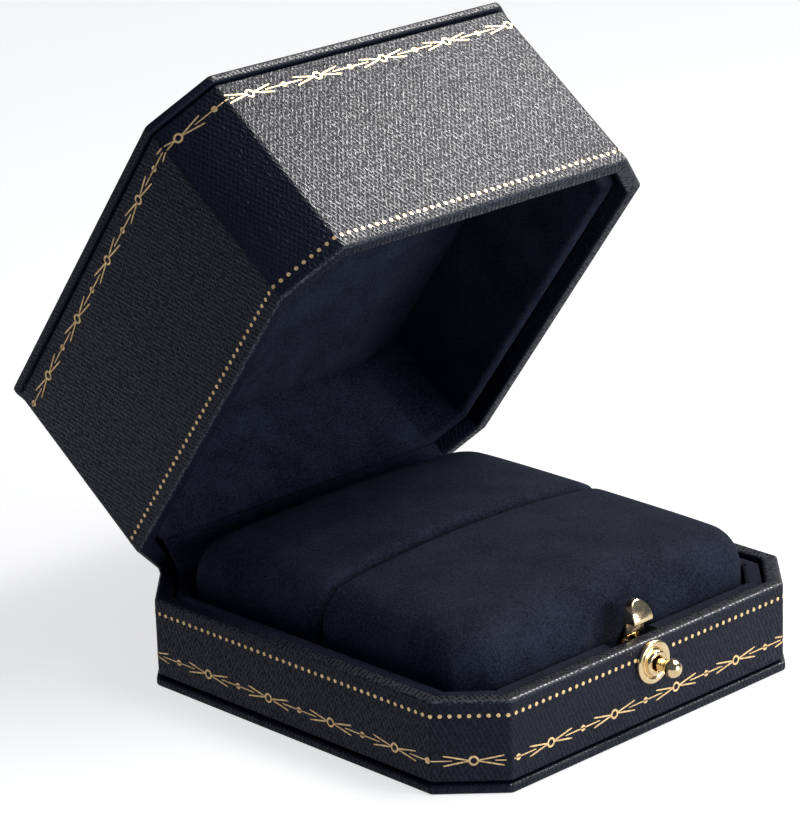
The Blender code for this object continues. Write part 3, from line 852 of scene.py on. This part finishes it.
def make_button():
    """The domed push button, with a groove near its back end for the clip."""
    stem = 0.7
    groove = 0.4
    neck = 0.88
    dome = 1.22
    middle = -35.45
    flare = math.acos(neck / dome)
    steps = 16
    profile = [(0, BUTTON_BACK), (stem, BUTTON_BACK), (stem, -28.45), (groove, -28.45), (groove, -28.95)]
    profile += [(stem, -28.95), (stem, -33.0), (0.8, -33.35), (neck, -33.6)]
    for i in range(steps + 1):
        angle = flare - (flare + math.pi / 2) * i / steps
        profile.append((max(dome * math.cos(angle), 0.0), middle + dome * math.sin(angle)))
    bm = turned(profile, (0, 0, BUTTON_Z))
    finish("clasp_button", bm, BRASS, "button", ["push_button"], flat=50)


def opened(y, z):
    """Where a place on the shut lid lies with the lid open, in the Y-Z plane."""
    return (LID_TURN @ Vector((0, y, z))).yz


def make_spine():
    """The leatherette spine behind the hinge, shaped as it lies with the lid open."""
    offset = HALF + GAP + COVER / 2
    clear = 1.3
    middle = -OPEN_ANGLE / 2
    bulge = HINGE.yz + Vector((math.cos(middle), math.sin(middle))) * clear
    along = Vector((-math.sin(middle), math.cos(middle))) * 0.55
    low = Vector((offset, HINGE.z - 2.05))
    high = opened(offset, HINGE.z + 2.05)
    start = Vector((offset, SPINE_END))
    end = opened(offset, 2 * HINGE.z - SPINE_END)
    fall = (high - end).normalized() * 0.8
    path = interpolate_bezier(low, low + Vector((0, 0.8)), bulge - along, bulge, 8)
    path += interpolate_bezier(bulge, bulge + along, high + fall, high, 8)[1:]
    straight = [start.lerp(low, i / 4) for i in range(4)]
    straight_up = [high.lerp(end, i / 4) for i in range(1, 5)]
    path = straight + path + straight_up
    spine = band("hinge_cover", path, SPINE_HALF, BOARD_WRAP)
    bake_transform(spine)
    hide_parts("hinge_spine")


def make_flap():
    """The suede flap inside the hinge, shaped as it lies with the lid open."""
    foot = Vector((28.0, TRAY_TOP + 0.6))
    head = opened(28.2, LINER_EDGE - 0.12)
    path = interpolate_bezier(foot, foot + Vector((0.1, 1.6)), head + Vector((-1.3, -0.9)), head, 12)
    flap = band("hinge_flap_suede", path, FLAP_HALF, LINING_SUEDE)
    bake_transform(flap)
    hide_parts("hinge_flap")


def lay_along(bm, path):
    """Unrolls a strip along the path it follows in the Y-Z plane, as a UV map in millimetres."""
    layer = bm.loops.layers.uv.new("surface")
    lengths = [0.0]
    for near, far in zip(path, path[1:]):
        lengths.append(lengths[-1] + (far - near).length)
    for face in bm.faces:
        for loop in face.loops:
            place = loop.vert.co
            gaps = [(place.yz - point).length for point in path]
            loop[layer].uv = (place.x, lengths[gaps.index(min(gaps))])


def band(name, path, half_width, material):
    """A strip of covering that follows a path in the Y-Z plane, with rounded edges."""
    sides = ([], [])
    for i, point in enumerate(path):
        step = path[min(i + 1, len(path) - 1)] - path[max(i - 1, 0)]
        across = Vector((-step.y, step.x)).normalized() * COVER / 2
        sides[0].append(point + across)
        sides[1].append(point - across)
    outline = [(-half_width, *point) for point in sides[0] + sides[1][::-1]]
    bm = prism(outline, (2 * half_width, 0, 0))
    ends = [e for e in bm.edges if abs(e.verts[0].co.x - e.verts[1].co.x) < 1e-4]
    ends = [e for e in ends if len(e.link_faces) == 2 and e.calc_face_angle(0) > 1]
    soften(bm, ends, 0.15, 2)
    lay_along(bm, path)
    return finish(name, bm, material, None)


def tongue_arch():
    """The tongue's outline seen from the front, straight-sided with an arched top, as a solid along Y."""
    arch_foot = TONGUE_SHOULDER + 0.9
    arch_rise = TONGUE_TOP - 0.02 - arch_foot
    steps = 24
    arch = [(TONGUE_HALF + 0.01, TONGUE_FOOT - 0.2)]
    for i in range(steps + 1):
        angle = math.pi * i / steps
        arch.append(((TONGUE_HALF - 0.01) * math.cos(angle), arch_foot + arch_rise * math.sin(angle)))
    arch.append((-TONGUE_HALF - 0.01, TONGUE_FOOT - 0.2))
    return prism([(x, -32, z) for x, z in arch], (0, 6, 0))


def make_tongue():
    """The hooked brass tongue that catches in the lid."""
    profile = [
        (-28.0, TONGUE_FOOT),
        (-28.0, 11.4),
        (-29.3, 12.3),
        (-29.3, TONGUE_SHOULDER),
        (-30.8, TONGUE_SHOULDER),
        (-30.8, TONGUE_SHOULDER + 0.5),
        (-30.3, TONGUE_SHOULDER + 1.5),
        (-29.5, TONGUE_TOP),
        (-28.7, TONGUE_TOP),
        (-28.7, 12.0),
        (-27.4, 11.1),
        (-27.4, TONGUE_FOOT),
    ]
    bm = prism([(-TONGUE_HALF, y, z) for y, z in profile], (2 * TONGUE_HALF, 0, 0))
    piece = finish("tongue_face", bm, BRASS, "tongue")
    tool = cut_with(piece, "tongue_arch", tongue_arch(), "INTERSECT")
    bevel = piece.modifiers.new("rounded", "BEVEL")
    bevel.width = 0.14 * MM
    bevel.segments = 3
    bevel.limit_method = "ANGLE"
    bevel.angle_limit = math.radians(30)
    settle(piece)
    bpy.data.objects.remove(tool)
    piece.data.shade_smooth()
    piece.data.set_sharp_from_angle(angle=math.radians(40))
    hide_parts("latch_tongue")


def dress_working_parts():
    """Finishes for the hinge, latch and strike, which keep their own shapes."""
    finishes = {
        PLAIN_BRASS: ("hinge_base_leaf", "hinge_lid_leaf", "latch_bracket", "bush_nut"),
        BRASS: ("strike_plate", "strike_screw_left", "strike_screw_right"),
        STEEL: ("hinge_pin", "hinge_snap_spring", "latch_spring", "latch_pivot_pin", "button_clip"),
        CARD: ("cushion_card",),
    }
    rivets = [name for name in frame["nodes"] if "rivet" in name]
    finishes[PLAIN_BRASS] += tuple(rivets)
    for material, names in finishes.items():
        for name in names:
            mesh = frame["nodes"][name].data
            mesh.materials.clear()
            mesh.materials.append(material)


# The studio


def make_floor():
    """A wide pale floor."""
    bm = bmesh.new()
    bmesh.ops.create_grid(bm, x_segments=1, y_segments=1, size=3.0)
    bmesh.ops.translate(bm, vec=(0, 0, -0.00002), verts=bm.verts)
    mesh = bpy.data.meshes.new("floor")
    bm.to_mesh(mesh)
    bm.free()
    floor = bpy.data.objects.new("floor", mesh)
    bpy.context.collection.objects.link(floor)
    paint = Recipe("pale_floor", Base_Color=(0.66, 0.66, 0.66, 1), Roughness=0.8, Specular_IOR_Level=0.1)
    seen = paint.add("ShaderNodeLightPath").outputs["Is Camera Ray"]
    paint.shader.inputs["Emission Color"].default_value = (1, 1, 1, 1)
    paint.drive("Emission Strength", paint.math("MULTIPLY_ADD", seen, 0.28, 0.42))
    floor.data.materials.append(paint.material)


def area_light(name, direction, distance, size, power, aim, colour):
    """A square soft light that looks at the box from a direction."""
    data = bpy.data.lights.new(name, "AREA")
    data.shape = "SQUARE"
    data.size = size
    data.energy = power
    data.color = colour
    lamp = bpy.data.objects.new(name, data)
    bpy.context.collection.objects.link(lamp)
    towards = Vector(direction).normalized()
    lamp.location = Vector(aim) + towards * distance
    lamp.rotation_euler = (-towards).to_track_quat("-Z", "Y").to_euler()
    return lamp


def make_lights():
    """A broad key from the upper right, a gloss light that shows only as a reflection, and a front fill."""
    aim = (0, 0.005, 0.035)
    area_light("key", (0.38, -0.35, 0.86), 0.55, 0.28, 1.6, aim, (1.0, 0.97, 0.94))
    gloss = area_light("key_gloss", (0.66, -0.10, 0.75), 0.55, 0.25, 10.0, aim, (1.0, 0.97, 0.95))
    gloss.visible_diffuse = False
    area_light("front_fill", (0.30, -1.0, 0.12), 0.9, 0.5, 6.5, aim, (0.88, 0.95, 1.0))


def make_room():
    """A dim blue room that the camera sees as white."""
    world = bpy.data.worlds.new("room")
    bpy.context.scene.world = world
    world.use_nodes = True
    nodes = world.node_tree.nodes
    links = world.node_tree.links
    seen = nodes.new("ShaderNodeBackground")
    seen.inputs["Color"].default_value = (1, 1, 1, 1)
    seen.inputs["Strength"].default_value = 1.05
    lit = nodes["Background"]
    lit.inputs["Color"].default_value = (0.72, 0.84, 1.15, 1)
    lit.inputs["Strength"].default_value = 0.12
    path = nodes.new("ShaderNodeLightPath")
    blend = nodes.new("ShaderNodeMixShader")
    links.new(path.outputs["Is Camera Ray"], blend.inputs[0])
    links.new(lit.outputs[0], blend.inputs[1])
    links.new(seen.outputs[0], blend.inputs[2])
    links.new(blend.outputs[0], nodes["World Output"].inputs[0])
    bpy.context.scene.view_settings.view_transform = "Standard"


def make_camera():
    """A long lens from the front left and a little above."""
    azimuth = math.radians(-43.63)
    elevation = math.radians(19.15)
    roll = math.radians(-1.94)
    distance = 0.476
    aim = Vector((-11.6, -0.44, 37.8)) * MM
    level = math.cos(elevation)
    back = Vector((math.sin(azimuth) * level, -math.cos(azimuth) * level, math.sin(elevation)))
    right = Vector((math.cos(azimuth), math.sin(azimuth), 0))
    turn = Matrix((right, back.cross(right), back)).transposed().to_4x4()
    data = bpy.data.cameras.new("camera")
    data.sensor_width = 36
    data.sensor_fit = "HORIZONTAL"
    data.lens = 171
    data.clip_start = 0.01
    data.clip_end = 20
    camera = bpy.data.objects.new("camera", data)
    bpy.context.collection.objects.link(camera)
    place = Matrix.Translation(aim + back * distance)
    camera.matrix_world = place @ turn @ Matrix.Rotation(roll, 4, "Z")
    bpy.context.scene.camera = camera


make_camera()
make_floor()
make_lights()
make_room()
make_base()
make_lid()
make_tray()
make_lid_lining()
make_cushion("cushion_front", -1, 2.4, "front_cushion")
make_cushion("cushion_rear", 1, 2.9, "rear_cushion")
make_bush()
make_button()
make_tongue()
make_spine()
make_flap()
dress_working_parts()
front_left_chamfer = -CHAMFER_LENGTH / 2
clasp_gap = (WALL_LENGTH / 2 - CLASP_CLEAR, WALL_LENGTH / 2 + CLASP_CLEAR)
dot_row("base_foil_dots", BASE_RIM - DOTS_FROM_RIM, "root", clasp_gap)
chain("base_foil_chain", BASE_CHAIN_Z, front_left_chamfer, "root")
dot_row("lid_foil_dots", LID_RIM + DOTS_FROM_RIM, "lid")
chain("lid_foil_chain", LID_CHAIN_Z, front_left_chamfer + LID_CHAIN_SHIFT, "lid")
